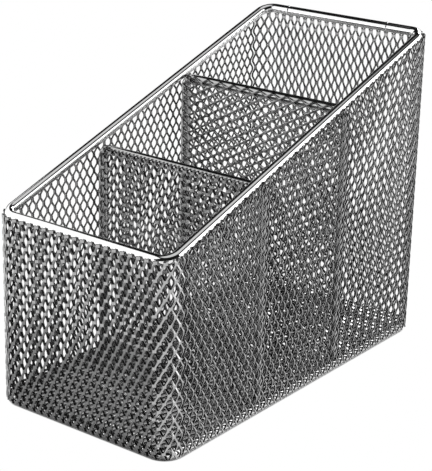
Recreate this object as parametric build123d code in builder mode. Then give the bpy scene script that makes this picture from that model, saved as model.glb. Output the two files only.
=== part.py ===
"""Wire desk organizer: three open compartments of expanded metal mesh on a frame of round bar.

The origin is at the middle of the base, on the surface that the organizer stands on.
The low front faces -Y, the high back +Y, and +Z is up. All sizes are in millimetres.
"""
import math
import os

from build123d import *

# The frame, measured between the centre lines of its bars
FRAME_LENGTH = 200.0
FRAME_WIDTH = 97.0
FRONT_HEIGHT = 93.3
BACK_HEIGHT = 160.0
CORNER_RADIUS = 6.5

# The bars; a tail is the straight end of the rim bar past its bend at the back
BAR_DIAMETER = 4.8
BASE_FLAT_DEPTH = 0.15
LEFT_TAIL_LENGTH = 8.0
RIGHT_TAIL_LENGTH = 14.0
WELD_LENGTH = 1.0
WELD_RISE = 0.25

# The dividers; a gap is from a divider's bent corner up to the side rim bar
DIVIDER_SPACING = 64.0
DIVIDER_CORNER_RADIUS = 4.0
FRONT_DIVIDER_GAP = 2.3
REAR_DIVIDER_GAP = 0.15

# The mesh sheets, with their diamonds measured from strand to strand and standing on end; a divider's
# mesh laps the front of its bar, up from the bar's centre line
MESH_THICKNESS = 1.3
MESH_CLEARANCE = 0.15
DIAMOND_WIDTH = 11.0
DIAMOND_HEIGHT = 18.0
STRAND_WIDTH = 2.4
HEM_WIDTH = 1.6
SMALLEST_GAP_SHARE = 0.08
DIVIDER_MESH_LAP = 2.0

# Values that follow from the sizes above
UPRIGHT = (DIAMOND_WIDTH, DIAMOND_HEIGHT)
LYING = (DIAMOND_HEIGHT, DIAMOND_WIDTH)
BAR_RADIUS = BAR_DIAMETER / 2
HALF_LENGTH = FRAME_LENGTH / 2
HALF_WIDTH = FRAME_WIDTH / 2
RIM_RISE = BACK_HEIGHT - FRONT_HEIGHT
RIM_TILT = math.atan2(RIM_RISE, FRAME_LENGTH)
RIM_HALF_LENGTH = math.hypot(RIM_RISE, FRAME_LENGTH) / 2
BASE_BAR_HEIGHT = BAR_RADIUS - BASE_FLAT_DEPTH
FLOOR_BOTTOM = BASE_BAR_HEIGHT + BAR_RADIUS + MESH_CLEARANCE
FLOOR_TOP = FLOOR_BOTTOM + MESH_THICKNESS
WALL_STAND_OFF = BAR_RADIUS + MESH_CLEARANCE
FLAT_HALF_WIDTH = HALF_WIDTH - CORNER_RADIUS
FLAT_HALF_LENGTH = HALF_LENGTH - CORNER_RADIUS


def rim_height(y):
    """Height of the rim's sloping middle plane at a place along the organizer."""
    return FRONT_HEIGHT + RIM_RISE * (y + HALF_LENGTH) / FRAME_LENGTH


def divider_top(y, gap):
    """Height of a divider's top bar, whose bent corners stay the gap below the side rim bars."""
    reach = DIVIDER_CORNER_RADIUS + BAR_RADIUS + BAR_RADIUS / math.cos(RIM_TILT) + gap
    drop = math.sqrt(reach**2 - DIVIDER_CORNER_RADIUS**2) - DIVIDER_CORNER_RADIUS
    return rim_height(y) - drop


def diamond(width, height):
    """Corners of one gap of the net, clockwise: the pitch less half a strand on each side."""
    open_share = 1 - STRAND_WIDTH * math.hypot(width, height) / (width * height)
    x = width / 2 * open_share
    y = height / 2 * open_share
    return [(x, 0), (0, -y), (-x, 0), (0, y)]


def diamond_places(box, width, height):
    """Centres of a staggered net of diamonds over a box, counted from the middle of its lower edge."""
    columns = math.ceil(box.size.X / width / 2) + 1
    rows = math.ceil(box.size.Y / height) * 2 + 1
    for row in range(rows):
        for column in range(-columns, columns):
            x = width * (column + row % 2 / 2)
            yield box.center().X + x, box.min.Y + height / 2 * row


def depth_inside(point, start, end):
    """How far a point lies inside the hem line that runs along one edge of an outline."""
    run = (end[0] - start[0], end[1] - start[1])
    offset_x = point[0] - start[0]
    offset_y = point[1] - start[1]
    return (run[0] * offset_y - run[1] * offset_x) / math.hypot(*run) - HEM_WIDTH


def trimmed(gap, corners):
    """A gap's corner points after it is cut off at the hem line of each edge of an outline."""
    for start, end in zip(corners, corners[1:] + corners[:1]):
        kept = []
        for here, there in zip(gap, gap[1:] + gap[:1]):
            depth = depth_inside(here, start, end)
            next_depth = depth_inside(there, start, end)
            if depth > 0:
                kept.append(here)
            if depth * next_depth < 0:
                cut_share = depth / (depth - next_depth)
                kept.append(tuple(a + cut_share * (b - a) for a, b in zip(here, there)))
        gap = kept
    return gap


def area(gap):
    """Area of a clockwise outline of corner points."""
    return sum(b[0] * a[1] - a[0] * b[1] for a, b in zip(gap, gap[1:] + gap[:1])) / 2


def net(outline, corners, pitch):
    """A holed face: an outline with the net's gaps, cut off one hem inside its corner points."""
    whole_gap = diamond(*pitch)
    gaps = []
    for x, y in diamond_places(outline.bounding_box(), *pitch):
        gap = trimmed([(x + u, y + v) for u, v in whole_gap], corners)
        if area(gap) > SMALLEST_GAP_SHARE * area(whole_gap):
            gaps.append(Wire.make_polygon(gap))
    return outline.face().make_holes(gaps)


def net_of_corners(corners):
    """A net whose outline runs straight from corner to corner."""
    with BuildSketch() as outline:
        Polygon(*corners, align=None)
    return net(outline.sketch, corners, UPRIGHT)


def save(part, name):
    """Labels a finished piece and writes it as its own file."""
    part.label = name
    export_step(part, f"parts/{name}.step")


os.makedirs("parts", exist_ok=True)

# Rim bar: round the front, both sides and both back corners, in one sloping plane
rim_plane = Plane(
    origin=(0, 0, rim_height(0)),
    x_dir=(1, 0, 0),
    z_dir=(0, -math.sin(RIM_TILT), math.cos(RIM_TILT)),
)
left_end = LEFT_TAIL_LENGTH - FLAT_HALF_WIDTH
right_end = FLAT_HALF_WIDTH - RIGHT_TAIL_LENGTH
with BuildPart() as rim_bar:
    with BuildLine(rim_plane) as rim_path:
        FilletPolyline(
            (left_end, RIM_HALF_LENGTH),
            (-HALF_WIDTH, RIM_HALF_LENGTH),
            (-HALF_WIDTH, -RIM_HALF_LENGTH),
            (HALF_WIDTH, -RIM_HALF_LENGTH),
            (HALF_WIDTH, RIM_HALF_LENGTH),
            (right_end, RIM_HALF_LENGTH),
            radius=CORNER_RADIUS,
        )
    with BuildSketch(Plane(origin=rim_path.line @ 0, z_dir=rim_path.line % 0)):
        Circle(BAR_RADIUS)
    sweep(path=rim_path.line)
save(rim_bar.part, "rim_bar")

# Straight bar that closes the rim at the back, between the two welds
with BuildPart() as rim_back_bar:
    with BuildSketch(Plane.YZ.offset(left_end + WELD_LENGTH)):
        with Locations((HALF_LENGTH, BACK_HEIGHT)):
            Circle(BAR_RADIUS)
    extrude(amount=right_end - left_end - 2 * WELD_LENGTH)
save(rim_back_bar.part, "rim_back_bar")

# Weld beads: flush with the bar on the outside, where the wall mesh passes, and proud elsewhere
with BuildPart() as rim_welds:
    for weld_x in (left_end, right_end - WELD_LENGTH):
        with BuildSketch(Plane.YZ.offset(weld_x)):
            with Locations((HALF_LENGTH - WELD_RISE, BACK_HEIGHT)):
                Circle(BAR_RADIUS + WELD_RISE)
        extrude(amount=WELD_LENGTH)
save(rim_welds.part, "rim_welds")

# Base bar: a closed loop, pressed flat underneath where it stands
with BuildPart() as base_bar:
    with BuildLine(Plane.XY.offset(BASE_BAR_HEIGHT)) as base_path:
        FilletPolyline(
            (HALF_WIDTH, -HALF_LENGTH),
            (HALF_WIDTH, HALF_LENGTH),
            (-HALF_WIDTH, HALF_LENGTH),
            (-HALF_WIDTH, -HALF_LENGTH),
            radius=CORNER_RADIUS,
            close=True,
        )
    with BuildSketch(Plane(origin=base_path.line @ 0, z_dir=base_path.line % 0)):
        Circle(BAR_RADIUS)
    sweep(path=base_path.line)
    split(bisect_by=Plane.XY, keep=Keep.TOP)
save(base_bar.part, "base_bar")

# Wall mesh, outside the bars: the flat front and back
for name, side in (("front_wall_mesh", -1), ("back_wall_mesh", 1)):
    inner_y = side * (HALF_LENGTH + WALL_STAND_OFF)
    wall_corners = [
        (-FLAT_HALF_WIDTH, BASE_BAR_HEIGHT),
        (FLAT_HALF_WIDTH, BASE_BAR_HEIGHT),
        (FLAT_HALF_WIDTH, rim_height(inner_y)),
        (-FLAT_HALF_WIDTH, rim_height(inner_y)),
    ]
    with BuildPart() as wall:
        with BuildSketch(Plane(origin=(0, inner_y, 0), x_dir=(-side, 0, 0), z_dir=(0, side, 0))):
            add(net_of_corners(wall_corners))
        extrude(amount=MESH_THICKNESS)
    save(wall.part, name)

# Wall mesh, outside the bars: the flat sides, which follow the slope of the rim
for name, side in (("left_wall_mesh", -1), ("right_wall_mesh", 1)):
    inner_x = side * (HALF_WIDTH + WALL_STAND_OFF)
    wall_corners = [
        (-FLAT_HALF_LENGTH, BASE_BAR_HEIGHT),
        (FLAT_HALF_LENGTH, BASE_BAR_HEIGHT),
        (FLAT_HALF_LENGTH, rim_height(side * FLAT_HALF_LENGTH)),
        (-FLAT_HALF_LENGTH, rim_height(-side * FLAT_HALF_LENGTH)),
    ]
    with BuildPart() as wall:
        with BuildSketch(Plane(origin=(inner_x, 0, 0), x_dir=(0, side, 0), z_dir=(side, 0, 0))):
            add(net_of_corners(wall_corners))
        extrude(amount=MESH_THICKNESS)
    save(wall.part, name)

# Wall mesh, outside the bars: the bent corners, each with one column of gaps
bend_radius = CORNER_RADIUS + WALL_STAND_OFF
outer_radius = bend_radius + MESH_THICKNESS
for name, side_x, side_y, turn in (
    ("back_right_corner_mesh", 1, 1, 0),
    ("back_left_corner_mesh", -1, 1, 90),
    ("front_left_corner_mesh", -1, -1, 180),
    ("front_right_corner_mesh", 1, -1, 270),
):
    foot = (side_x * FLAT_HALF_WIDTH, side_y * FLAT_HALF_LENGTH, BASE_BAR_HEIGHT)
    strip_top = min(rim_height(foot[1]), rim_height(foot[1] + side_y * outer_radius))
    rows = round((strip_top - BASE_BAR_HEIGHT) / DIAMOND_HEIGHT)
    row_height = (strip_top - BASE_BAR_HEIGHT) / rows
    with BuildPart() as corner:
        with BuildSketch(Plane(foot).rotated((0, 0, turn))):
            Circle(outer_radius)
            Circle(bend_radius, mode=Mode.SUBTRACT)
            Rectangle(outer_radius, outer_radius, align=Align.MIN, mode=Mode.INTERSECT)
        extrude(amount=BACK_HEIGHT + RIM_RISE)
        split(bisect_by=rim_plane, keep=Keep.BOTTOM)
        with BuildSketch(Plane(origin=foot, x_dir=(-side_y, side_x, 0), z_dir=(side_x, side_y, 0))):
            with Locations(*[(0, row_height * (row + 1 / 2)) for row in range(rows)]):
                Polygon(*diamond(*UPRIGHT), align=None)
        extrude(amount=outer_radius, mode=Mode.SUBTRACT)
    save(corner.part, name)

# Floor mesh: one flat sheet that lies on the base bar and reaches its outer side
floor_half_width = HALF_WIDTH + BAR_RADIUS
floor_half_length = HALF_LENGTH + BAR_RADIUS
floor_corners = [
    (FLAT_HALF_WIDTH, -floor_half_length),
    (floor_half_width, -FLAT_HALF_LENGTH),
    (floor_half_width, FLAT_HALF_LENGTH),
    (FLAT_HALF_WIDTH, floor_half_length),
    (-FLAT_HALF_WIDTH, floor_half_length),
    (-floor_half_width, FLAT_HALF_LENGTH),
    (-floor_half_width, -FLAT_HALF_LENGTH),
    (-FLAT_HALF_WIDTH, -floor_half_length),
]
with BuildSketch() as floor_outline:
    RectangleRounded(2 * floor_half_width, 2 * floor_half_length, CORNER_RADIUS + BAR_RADIUS)
with BuildPart() as floor_mesh:
    with BuildSketch(Plane.XY.offset(FLOOR_BOTTOM)):
        add(net(floor_outline.sketch, floor_corners, UPRIGHT))
    extrude(amount=MESH_THICKNESS)
save(floor_mesh.part, "floor_mesh")

# Dividers: an upside-down U of bar that stands on the floor, with its mesh on the front; the rear
# divider's mesh is turned, so that its diamonds lie on their sides
for name, y, gap, pitch in (
    ("front_divider", -DIVIDER_SPACING / 2, FRONT_DIVIDER_GAP, UPRIGHT),
    ("rear_divider", DIVIDER_SPACING / 2, REAR_DIVIDER_GAP, LYING),
):
    top = divider_top(y, gap)
    with BuildPart() as divider_bar:
        with BuildLine(Plane.XZ.offset(-y)) as divider_path:
            FilletPolyline(
                (HALF_WIDTH, FLOOR_TOP),
                (HALF_WIDTH, top),
                (-HALF_WIDTH, top),
                (-HALF_WIDTH, FLOOR_TOP),
                radius=DIVIDER_CORNER_RADIUS,
            )
        with BuildSketch(Plane(origin=divider_path.line @ 0, z_dir=divider_path.line % 0)):
            Circle(BAR_RADIUS)
        sweep(path=divider_path.line)
    save(divider_bar.part, f"{name}_bar")

    mesh_top = top + DIVIDER_MESH_LAP
    mesh_radius = DIVIDER_CORNER_RADIUS + DIVIDER_MESH_LAP
    with BuildSketch() as divider_outline:
        with BuildLine() as edge:
            FilletPolyline(
                (HALF_WIDTH, FLOOR_TOP),
                (HALF_WIDTH, mesh_top),
                (-HALF_WIDTH, mesh_top),
                (-HALF_WIDTH, FLOOR_TOP),
                radius=mesh_radius,
            )
            Line(edge.line @ 1, edge.line @ 0)
        make_face()
    divider_corners = [
        (-HALF_WIDTH, FLOOR_TOP),
        (HALF_WIDTH, FLOOR_TOP),
        (HALF_WIDTH, mesh_top - mesh_radius),
        (HALF_WIDTH - mesh_radius, mesh_top),
        (mesh_radius - HALF_WIDTH, mesh_top),
        (-HALF_WIDTH, mesh_top - mesh_radius),
    ]
    with BuildPart() as divider_mesh:
        with BuildSketch(Plane.XZ.offset(WALL_STAND_OFF - y)):
            add(net(divider_outline.sketch, divider_corners, pitch))
        extrude(amount=MESH_THICKNESS)
    save(divider_mesh.part, f"{name}_mesh")
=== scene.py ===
"""Looks of the wire desk organizer: expanded metal at its true pitch on polished bars, in a white studio.

All sizes are in metres, in the part's own frame: the low front faces -Y, the high back +Y, and +Z is up.
"""

import math

import bpy
from mathutils import Matrix, Vector


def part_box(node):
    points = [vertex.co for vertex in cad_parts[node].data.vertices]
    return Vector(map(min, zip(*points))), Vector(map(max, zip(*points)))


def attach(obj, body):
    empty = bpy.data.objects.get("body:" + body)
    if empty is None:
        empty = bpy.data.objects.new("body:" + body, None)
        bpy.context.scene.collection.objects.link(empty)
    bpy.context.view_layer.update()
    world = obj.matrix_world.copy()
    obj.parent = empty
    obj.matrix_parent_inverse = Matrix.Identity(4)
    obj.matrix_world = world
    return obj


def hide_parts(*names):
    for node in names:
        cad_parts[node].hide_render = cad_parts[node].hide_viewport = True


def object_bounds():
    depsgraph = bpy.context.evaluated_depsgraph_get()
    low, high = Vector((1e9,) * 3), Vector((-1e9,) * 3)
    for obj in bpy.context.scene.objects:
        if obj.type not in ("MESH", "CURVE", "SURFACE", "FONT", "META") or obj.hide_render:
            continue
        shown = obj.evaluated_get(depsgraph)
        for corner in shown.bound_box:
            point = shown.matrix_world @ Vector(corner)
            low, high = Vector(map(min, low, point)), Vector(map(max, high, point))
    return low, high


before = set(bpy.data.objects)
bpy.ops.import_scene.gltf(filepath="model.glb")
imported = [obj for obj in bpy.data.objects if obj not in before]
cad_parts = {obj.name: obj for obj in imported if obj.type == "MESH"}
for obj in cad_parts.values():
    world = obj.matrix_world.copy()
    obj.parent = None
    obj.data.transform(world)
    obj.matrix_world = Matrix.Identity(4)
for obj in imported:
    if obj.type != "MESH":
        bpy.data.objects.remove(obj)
packed_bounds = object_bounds()

# The expanded metal: a sheet that is slit along its strands and pulled open across them
STRAND_WIDTH = 0.00105
SHEET_THICKNESS = 0.00087
STRAND_TILT = math.radians(22.0)
EDGE_ROUND = 0.00024
JOINED_EDGE_ROUND = 0.00002
DIAMOND_LENGTH = 0.0081
BOND_LENGTH = 0.0014

# Number of diamonds across the strands of each sheet
END_COLUMNS = 25
SIDE_COLUMNS = 37
FLOOR_COLUMNS = 22
FRONT_DIVIDER_COLUMNS = 21
REAR_DIVIDER_ROWS = 28

# The sheets' cut edges: a lap goes up from the rim bar's centre line, or down from the foot of the
# wall's solid
RIM_LAP = 0.0005
LEFT_RIM_LAP = -0.0004
BASE_LAP = 0.00075
DIVIDER_MESH_RADIUS = 0.006

# Height of one row of bonds on each wall
FRONT_BOND_HEIGHT = 0.0931
BACK_BOND_HEIGHT = 0.1593
SIDE_BOND_HEIGHT = 0.0012

# Surface noise of the metals: how much finer gloss and relief are than the colour, and their detail
GLOSS_FINENESS = 3
RELIEF_FINENESS = 6
COLOUR_DETAIL = 4.0
GLOSS_DETAIL = 3.0
RELIEF_DETAIL = 2.0
RELIEF_DEPTH = 0.0001

# The camera, as the photograph was taken: its aim is on the middle axis of the part
IMAGE_LONG_SIDE = 471
FOCAL_LENGTH_PIXELS = 1536.7
SENSOR_SIZE = 36.0
CAMERA_AZIMUTH = math.radians(37.154)
CAMERA_ELEVATION = math.radians(19.598)
CAMERA_ROLL = math.radians(1.361)
CAMERA_DISTANCE = 0.758154
CAMERA_AIM_HEIGHT = 0.060
CAMERA_SHIFT_RIGHT = -0.002274
CAMERA_SHIFT_UP = 0.006996

# The studio floor: its shadow ends a little inside the part's box for the camera, and farther to the front
# left in the metal's reflections
FLOOR_SIZE = 12.0
FLOOR_GREY = 0.9
CONTACT_SHADOW = 0.0005
SHADOW_CORNER = 0.010
SHADOW_INSET = 0.0012
CAST_SHADOW = 0.12

# The studio room: dark up to one height on the sky, and with a lit ceiling from another, both given as
# the sine of the elevation
ROOM_GREY = 0.01
ROOM_TOP = 0.86
CEILING_GREY = 0.70
CEILING_START = 0.91

# Values that follow from the strands; two sides of a strand's section are sheared and get the painted dark
# edge colour, and the rest are not
HALF_DIAMOND = DIAMOND_LENGTH / 2
STRAND_ACROSS = STRAND_WIDTH * math.cos(STRAND_TILT)
STRAND_LIFT = STRAND_WIDTH * math.sin(STRAND_TILT) / 2
BOND_SHARE = BOND_LENGTH / DIAMOND_LENGTH
SECTION_CORNERS = 8
SHEARED_SIDES = (3, 7)
STRAND_SLOT = 0
EDGE_SLOT = 1


def grey(level):
    """A grey colour, opaque."""
    return (level, level, level, 1)


def noise(tree, scale, detail, low=0.0, high=1.0):
    """A noise in the object's own space, spread between two values."""
    coordinates = tree.nodes.new("ShaderNodeTexCoord")
    texture = tree.nodes.new("ShaderNodeTexNoise")
    texture.inputs["Scale"].default_value = scale
    texture.inputs["Detail"].default_value = detail
    spread = tree.nodes.new("ShaderNodeMapRange")
    spread.inputs["To Min"].default_value = low
    spread.inputs["To Max"].default_value = high
    tree.links.new(coordinates.outputs["Object"], texture.inputs["Vector"])
    tree.links.new(texture.outputs["Fac"], spread.inputs["Value"])
    return spread.outputs["Result"]


def metal(name, greys, roughness, grain, relief):
    """A metal whose colour and gloss vary between two values over its surface, with a fine relief."""
    material = bpy.data.materials.new(name)
    material.use_nodes = True
    tree = material.node_tree
    shader = tree.nodes["Principled BSDF"]
    shader.inputs["Metallic"].default_value = 1.0
    colours = tree.nodes.new("ShaderNodeMix")
    colours.data_type = "RGBA"
    colours.inputs["A"].default_value = grey(greys[0])
    colours.inputs["B"].default_value = grey(greys[1])
    tree.links.new(noise(tree, grain, COLOUR_DETAIL), colours.inputs["Factor"])
    tree.links.new(colours.outputs["Result"], shader.inputs["Base Color"])
    gloss = noise(tree, GLOSS_FINENESS * grain, GLOSS_DETAIL, *roughness)
    tree.links.new(gloss, shader.inputs["Roughness"])
    bump = tree.nodes.new("ShaderNodeBump")
    bump.inputs["Strength"].default_value = relief
    bump.inputs["Distance"].default_value = RELIEF_DEPTH
    tree.links.new(noise(tree, RELIEF_FINENESS * grain, RELIEF_DETAIL), bump.inputs["Height"])
    tree.links.new(bump.outputs["Normal"], shader.inputs["Normal"])
    return material


BAR_METAL = metal("polished_bar", greys=(0.80, 0.90), roughness=(0.03, 0.09), grain=120.0, relief=0.04)
# The dividers' bars are the rim's steel, a little rougher; their colour is painted darker, as painted shade
# for the inside of the basket
SHADED_DIVIDER_METAL = metal("satin_bar_painted_shade", greys=(0.40, 0.52), roughness=(0.08, 0.16), grain=160.0, relief=0.06)
STRAND_METAL = metal("plated_mesh", greys=(0.38, 0.53), roughness=(0.03, 0.09), grain=300.0, relief=0.10)
# The sheared sides and cut ends of the strands are rougher, and their near-black colour is painted shade for
# the mesh's dark reflections
PAINTED_DARK_EDGE_METAL = metal("sheared_edge_painted_dark", greys=(0.03, 0.06), roughness=(0.14, 0.26), grain=500.0, relief=0.16)


def strand_offset(steps, strand):
    """Sideways place of a strand, in units of its swing, so many half diamonds above a row of bonds."""
    step = math.floor(steps)
    start = 1 if (step + strand) % 2 else -1
    crossed = min(max((steps - step - BOND_SHARE) / (1 - 2 * BOND_SHARE), 0.0), 1.0)
    return start * (1 - 2 * crossed)


def strand_steps(bottom, top):
    """The two cut ends of a strand and the places where it bends, counted in half diamonds."""
    bends = []
    for step in range(math.floor(bottom), math.ceil(top)):
        for share in (BOND_SHARE, 1 - BOND_SHARE):
            if bottom < step + share < top:
                bends.append(step + share)
    return [bottom] + bends + [top]


def strand_section(offset):
    """Corners of a strand's tilted section, its edges rounded off except where it joins its neighbour."""
    across = Vector((math.cos(STRAND_TILT), -math.sin(STRAND_TILT)))
    through = Vector((math.sin(STRAND_TILT), math.cos(STRAND_TILT)))
    half_width = STRAND_WIDTH / 2
    half_thickness = SHEET_THICKNESS / 2
    corners = []
    for side, face, edge_first in ((1, 1, True), (-1, 1, False), (-1, -1, True), (1, -1, False)):
        free_share = (1 - side * offset) / 2
        cut = JOINED_EDGE_ROUND + free_share * (EDGE_ROUND - JOINED_EDGE_ROUND)
        on_edge = side * half_width * across + face * (half_thickness - cut) * through
        on_face = side * (half_width - cut) * across + face * half_thickness * through
        corners += [on_edge, on_face] if edge_first else [on_face, on_edge]
    return corners


def strand_middles(low, high, columns):
    """The pitch of the strands between two edges of a sheet, two to a diamond, and the middle of each."""
    count = 2 * columns
    pitch = (high - low) / count
    return pitch, [low + (number + 0.5) * pitch for number in range(count)]


def expanded_sheet(name, nodes, strands, bond_level, place):
    """A sheet of raised expanded metal in place of some nodes.

    Each strand is given by its number, its middle across the strands, its pitch and its two end levels.
    The function place takes a point across the strands, out of the sheet and along them to the part.
    """
    points = []
    faces = []
    slots = []
    for number, middle, pitch, bottom, top in strands:
        swing = (pitch - STRAND_ACROSS) / 2
        first = len(points)
        lowest = (bottom - bond_level) / HALF_DIAMOND
        highest = (top - bond_level) / HALF_DIAMOND
        for steps in strand_steps(lowest, highest):
            offset = strand_offset(steps, number)
            across = middle + offset * swing
            out = offset * STRAND_LIFT
            along = bond_level + steps * HALF_DIAMOND
            for corner in strand_section(offset):
                points.append(place(across + corner.x, out + corner.y, along))
        for ring in range(first, len(points) - SECTION_CORNERS, SECTION_CORNERS):
            for side in range(SECTION_CORNERS):
                here = ring + side
                there = ring + (side + 1) % SECTION_CORNERS
                faces.append((there, here, here + SECTION_CORNERS, there + SECTION_CORNERS))
                slots.append(EDGE_SLOT if side in SHEARED_SIDES else STRAND_SLOT)
        faces.append(tuple(range(first, first + SECTION_CORNERS)))
        faces.append(tuple(reversed(range(len(points) - SECTION_CORNERS, len(points)))))
        slots += [EDGE_SLOT, EDGE_SLOT]
    mesh = bpy.data.meshes.new(name)
    mesh.from_pydata(points, [], faces)
    mesh.materials.append(STRAND_METAL)
    mesh.materials.append(PAINTED_DARK_EDGE_METAL)
    mesh.polygons.foreach_set("material_index", slots)
    piece = bpy.data.objects.new(name, mesh)
    bpy.context.collection.objects.link(piece)
    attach(piece, "root")
    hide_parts(*nodes)


# The wall sheet runs round the part, seen from above, against the clock from the front left corner
front_low, front_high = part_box("front_wall_mesh")
back_low, back_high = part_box("back_wall_mesh")
right_low, right_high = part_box("right_wall_mesh")
bar_low, bar_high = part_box("rim_back_bar")
FLAT_WIDTH = front_high.x - front_low.x
FLAT_LENGTH = right_high.y - right_low.y
WALL_BOTTOM = front_low.z - BASE_LAP
BEND_RADIUS = (right_low.x + right_high.x - FLAT_WIDTH) / 2
BEND_LENGTH = BEND_RADIUS * math.pi / 2
RIM_SLOPE = (back_high.z - front_high.z) / (back_low.y - front_high.y)
END_DEPTH = (back_low.y + back_high.y) / 2
SIDE_DEPTH = (right_low.x + right_high.x) / 2
STAND_OFF = END_DEPTH - (bar_low.y + bar_high.y) / 2
BAR_BEND_RADIUS = BEND_RADIUS - STAND_OFF


def rim_height(y):
    """Height of the rim bar's centre line at a place along the part."""
    return front_high.z + RIM_SLOPE * (y - front_high.y)


def rim_lap(x):
    """How far the wall's cut edge reaches above the rim's centre line; it falls over the two left bends."""
    left_share = min(max((-x - FLAT_WIDTH / 2) / BAR_BEND_RADIUS, 0.0), 1.0)
    return RIM_LAP + left_share * (LEFT_RIM_LAP - RIM_LAP)


def wall_point(turn, flat, depth):
    """Maker of the function that places one wall: an end wall with its two bends, or a flat side wall."""
    turned = Matrix.Rotation(turn, 3, "Z")

    def place(along, out, up):
        beyond = abs(along) - flat / 2
        side = math.copysign(1, along)
        if beyond <= 0:
            return turned @ Vector((along, -depth - out, up))
        angle = beyond / BEND_RADIUS
        reach = BEND_RADIUS + out
        x = side * (flat / 2 + reach * math.sin(angle))
        return turned @ Vector((x, BEND_RADIUS - depth - reach * math.cos(angle), up))

    return place


def wall(name, nodes, turn, flat, bend, depth, columns, first, bond_height):
    """One side of the wall sheet, from low on the base bar to near the middle of the rim bar."""
    place = wall_point(turn, flat, depth)
    half_length = flat / 2 + bend
    pitch, middles = strand_middles(-half_length, half_length, columns)
    strands = []
    for number, middle in enumerate(middles, first):
        at_bar = place(middle, -STAND_OFF, 0)
        top = rim_height(at_bar.y) + rim_lap(at_bar.x)
        strands.append((number, middle, pitch, WALL_BOTTOM, top))
    expanded_sheet(name, nodes, strands, bond_height, place)


def walls():
    """The four sides of the wall sheet; the front and the back take two bent corners each."""
    front_nodes = ("front_wall_mesh", "front_left_corner_mesh", "front_right_corner_mesh")
    back_nodes = ("back_wall_mesh", "back_left_corner_mesh", "back_right_corner_mesh")
    end_sizes = (FLAT_WIDTH, BEND_LENGTH, END_DEPTH, END_COLUMNS)
    side_sizes = (FLAT_LENGTH, 0, SIDE_DEPTH, SIDE_COLUMNS)
    wall("front_wall_strands", front_nodes, 0, *end_sizes, 0, FRONT_BOND_HEIGHT)
    wall("right_wall_strands", ("right_wall_mesh",), math.pi / 2, *side_sizes, 0, SIDE_BOND_HEIGHT)
    wall("back_wall_strands", back_nodes, math.pi, *end_sizes, 1, BACK_BOND_HEIGHT)
    wall("left_wall_strands", ("left_wall_mesh",), -math.pi / 2, *side_sizes, 1, SIDE_BOND_HEIGHT)


def floor_sheet():
    """The floor's sheet lies on the base bar, with its strands from front to back."""
    low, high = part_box("floor_mesh")
    corner_radius = high.x - FLAT_WIDTH / 2
    height = (low.z + high.z) / 2
    pitch, middles = strand_middles(low.x, high.x, FLOOR_COLUMNS)
    strands = []
    for number, middle in enumerate(middles):
        beyond = max(abs(middle) - FLAT_WIDTH / 2, 0)
        reach = FLAT_LENGTH / 2 + math.sqrt(corner_radius**2 - beyond**2)
        strands.append((number, middle, pitch, -reach, reach))

    def place(across, out, along):
        return Vector((across, along, height + out))

    expanded_sheet("floor_strands", ("floor_mesh",), strands, 0, place)


def corner_inset(beyond):
    """How far a divider sheet's rounded corner stays inside, so far past the start of its bend."""
    return DIVIDER_MESH_RADIUS - math.sqrt(DIVIDER_MESH_RADIUS**2 - max(beyond, 0) ** 2)


def front_divider_sheet():
    """The front divider's sheet has upright strands, like the walls."""
    low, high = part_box("front_divider_mesh")
    sheet_y = (low.y + high.y) / 2
    pitch, middles = strand_middles(low.x, high.x, FRONT_DIVIDER_COLUMNS)
    strands = []
    for number, middle in enumerate(middles):
        top = high.z - corner_inset(abs(middle) - high.x + DIVIDER_MESH_RADIUS)
        strands.append((number, middle, pitch, low.z, top))

    def place(across, out, along):
        return Vector((across, sheet_y - out, along))

    expanded_sheet("front_divider_strands", ("front_divider_mesh",), strands, 0, place)


def rear_divider_sheet():
    """The rear divider's sheet is turned: its strands run from side to side, counted from the top."""
    low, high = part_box("rear_divider_mesh")
    sheet_y = (low.y + high.y) / 2
    pitch, middles = strand_middles(0, high.z - low.z, REAR_DIVIDER_ROWS)
    strands = []
    for number, middle in enumerate(middles):
        reach = high.x - corner_inset(DIVIDER_MESH_RADIUS - middle)
        strands.append((number, middle, pitch, -reach, reach))

    def place(across, out, along):
        return Vector((along, sheet_y - out, high.z - across))

    expanded_sheet("rear_divider_strands", ("rear_divider_mesh",), strands, 0, place)


def bars():
    """The bars keep their solids: the rim and the base are polished, the dividers' bars a little rougher and
    painted darker as painted shade.
    """
    bar_metals = {
        "rim_bar": BAR_METAL,
        "rim_back_bar": BAR_METAL,
        "rim_welds": BAR_METAL,
        "base_bar": BAR_METAL,
        "front_divider_bar": SHADED_DIVIDER_METAL,
        "rear_divider_bar": SHADED_DIVIDER_METAL,
    }
    for name, bar_metal in bar_metals.items():
        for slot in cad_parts[name].material_slots:
            slot.material = bar_metal


def maths(tree, kind, operation, *values):
    """Adds a maths node, fed with other nodes' outputs, numbers or vectors, and returns its output."""
    node = tree.nodes.new(kind)
    node.operation = operation
    for value, socket in zip(values, node.inputs):
        if isinstance(value, bpy.types.NodeSocket):
            tree.links.new(value, socket)
        else:
            socket.default_value = value
    gives_vector = kind == "ShaderNodeVectorMath" and operation != "LENGTH"
    return node.outputs["Vector" if gives_vector else "Value"]


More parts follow.
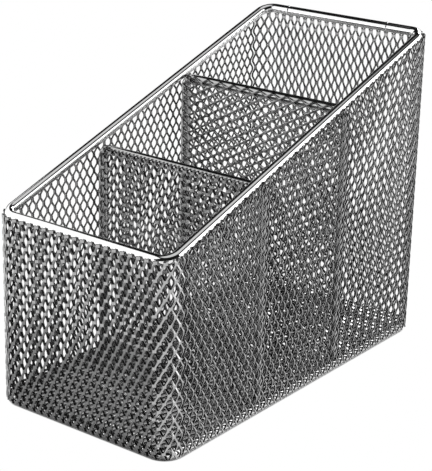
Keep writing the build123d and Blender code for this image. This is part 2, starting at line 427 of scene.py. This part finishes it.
def clear_of(tree, low, high):
    """A share that rises from 0 to 1 across the edge of a box of the floor with rounded corners."""
    place = tree.nodes.new("ShaderNodeTexCoord").outputs["Object"]
    middle = ((low + high) / 2).xy.to_3d()
    straight_reach = ((high - low) / 2 - Vector((SHADOW_CORNER, SHADOW_CORNER, 0))).xy.to_3d()
    from_middle = maths(tree, "ShaderNodeVectorMath", "SUBTRACT", place, middle)
    to_one_side = maths(tree, "ShaderNodeVectorMath", "ABSOLUTE", from_middle)
    past_edges = maths(tree, "ShaderNodeVectorMath", "SUBTRACT", to_one_side, straight_reach)
    outside = maths(tree, "ShaderNodeVectorMath", "MAXIMUM", past_edges, (0, 0, 0))
    rise = tree.nodes.new("ShaderNodeMapRange")
    rise.interpolation_type = "SMOOTHSTEP"
    rise.inputs["From Min"].default_value = SHADOW_CORNER - CONTACT_SHADOW
    rise.inputs["From Max"].default_value = SHADOW_CORNER + CONTACT_SHADOW
    tree.links.new(maths(tree, "ShaderNodeVectorMath", "LENGTH", outside), rise.inputs["Value"])
    return rise.outputs["Result"]


def studio_floor():
    """A wide matt floor that holds the part's shadow and is seen pure white farther off.

    The camera sees it white close round the part, and the metal beyond the shadow at the front left.
    """
    bpy.ops.mesh.primitive_plane_add(size=FLOOR_SIZE)
    floor = bpy.context.object
    floor.name = "studio_floor"
    material = bpy.data.materials.new("white_floor")
    material.use_nodes = True
    tree = material.node_tree
    tree.nodes.remove(tree.nodes["Principled BSDF"])
    inset = Vector((SHADOW_INSET, SHADOW_INSET, 0))
    low = packed_bounds[0] + inset
    high = packed_bounds[1] - inset
    cast_low = low - Vector((CAST_SHADOW, CAST_SHADOW, 0))
    paths = tree.nodes.new("ShaderNodeLightPath").outputs
    seen = paths["Is Camera Ray"]
    mirrored = maths(tree, "ShaderNodeMath", "MAXIMUM", paths["Is Glossy Ray"], paths["Is Transmission Ray"])
    white_share = maths(
        tree, "ShaderNodeMath", "MAXIMUM",
        maths(tree, "ShaderNodeMath", "MULTIPLY", seen, clear_of(tree, low, high)),
        maths(tree, "ShaderNodeMath", "MULTIPLY", mirrored, clear_of(tree, cast_low, high)),
    )
    matt = tree.nodes.new("ShaderNodeBsdfDiffuse")
    matt.inputs["Color"].default_value = grey(FLOOR_GREY)
    white = tree.nodes.new("ShaderNodeEmission")
    surface = tree.nodes.new("ShaderNodeMixShader")
    tree.links.new(white_share, surface.inputs["Fac"])
    tree.links.new(matt.outputs["BSDF"], surface.inputs[1])
    tree.links.new(white.outputs["Emission"], surface.inputs[2])
    tree.links.new(surface.outputs["Shader"], tree.nodes["Material Output"].inputs["Surface"])
    floor.data.materials.append(material)


def softbox(name, azimuth, elevation, distance, width, height, radiance):
    """A soft light panel that faces the part; azimuth 0 is the front and 90 the right side."""
    light = bpy.data.lights.new(name, "AREA")
    light.shape = "RECTANGLE"
    light.size = width
    light.size_y = height
    light.energy = radiance * math.pi * width * height
    panel = bpy.data.objects.new(name, light)
    bpy.context.collection.objects.link(panel)
    turn = math.radians(azimuth)
    lift = math.radians(elevation)
    away = Vector((math.sin(turn) * math.cos(lift), -math.cos(turn) * math.cos(lift), math.sin(lift)))
    panel.location = away * distance
    panel.rotation_euler = away.to_track_quat("Z", "Y").to_euler()
    panel.visible_camera = False


def studio_world():
    """A dark room with a lit ceiling; the camera sees it white."""
    world = bpy.data.worlds.new("studio")
    bpy.context.scene.world = world
    world.use_nodes = True
    tree = world.node_tree
    direction = tree.nodes.new("ShaderNodeTexCoord").outputs["Generated"]
    parts = tree.nodes.new("ShaderNodeSeparateXYZ")
    ramp = tree.nodes.new("ShaderNodeValToRGB")
    room, ceiling = ramp.color_ramp.elements
    room.position = ROOM_TOP
    room.color = grey(ROOM_GREY)
    ceiling.position = CEILING_START
    ceiling.color = grey(CEILING_GREY)
    tree.links.new(direction, parts.inputs["Vector"])
    tree.links.new(parts.outputs["Z"], ramp.inputs["Fac"])
    seen = tree.nodes.new("ShaderNodeMix")
    seen.data_type = "RGBA"
    seen.inputs["B"].default_value = grey(1)
    tree.links.new(tree.nodes.new("ShaderNodeLightPath").outputs["Is Camera Ray"], seen.inputs["Factor"])
    tree.links.new(ramp.outputs["Color"], seen.inputs["A"])
    tree.links.new(seen.outputs["Result"], tree.nodes["Background"].inputs["Color"])


def studio_camera():
    """The camera at the photograph's place."""
    away = Vector((
        math.sin(CAMERA_AZIMUTH) * math.cos(CAMERA_ELEVATION),
        -math.cos(CAMERA_AZIMUTH) * math.cos(CAMERA_ELEVATION),
        math.sin(CAMERA_ELEVATION),
    ))
    level_right = Vector((math.cos(CAMERA_AZIMUTH), math.sin(CAMERA_AZIMUTH), 0))
    level_up = away.cross(level_right)
    right = math.cos(CAMERA_ROLL) * level_right + math.sin(CAMERA_ROLL) * level_up
    up = math.cos(CAMERA_ROLL) * level_up - math.sin(CAMERA_ROLL) * level_right
    data = bpy.data.cameras.new("camera")
    data.sensor_fit = "AUTO"
    data.sensor_width = SENSOR_SIZE
    data.lens = FOCAL_LENGTH_PIXELS / IMAGE_LONG_SIDE * SENSOR_SIZE
    camera = bpy.data.objects.new("camera", data)
    bpy.context.collection.objects.link(camera)
    place = Vector((0, 0, CAMERA_AIM_HEIGHT)) + CAMERA_DISTANCE * away
    place += CAMERA_SHIFT_RIGHT * right + CAMERA_SHIFT_UP * up
    camera.matrix_world = Matrix.Translation(place) @ Matrix((right, up, away)).transposed().to_4x4()
    bpy.context.scene.camera = camera


walls()
floor_sheet()
front_divider_sheet()
rear_divider_sheet()
bars()
studio_floor()
softbox("right_panel", azimuth=130, elevation=24, distance=1.0, width=1.1, height=0.9, radiance=1.8)
softbox("left_panel", azimuth=-60, elevation=30, distance=0.5, width=0.68, height=0.566, radiance=1.2)
softbox("back_panel", azimuth=187, elevation=40, distance=1.2, width=0.5, height=0.5, radiance=4.0)
studio_world()
studio_camera()
bpy.context.scene.view_settings.view_transform = "Standard"
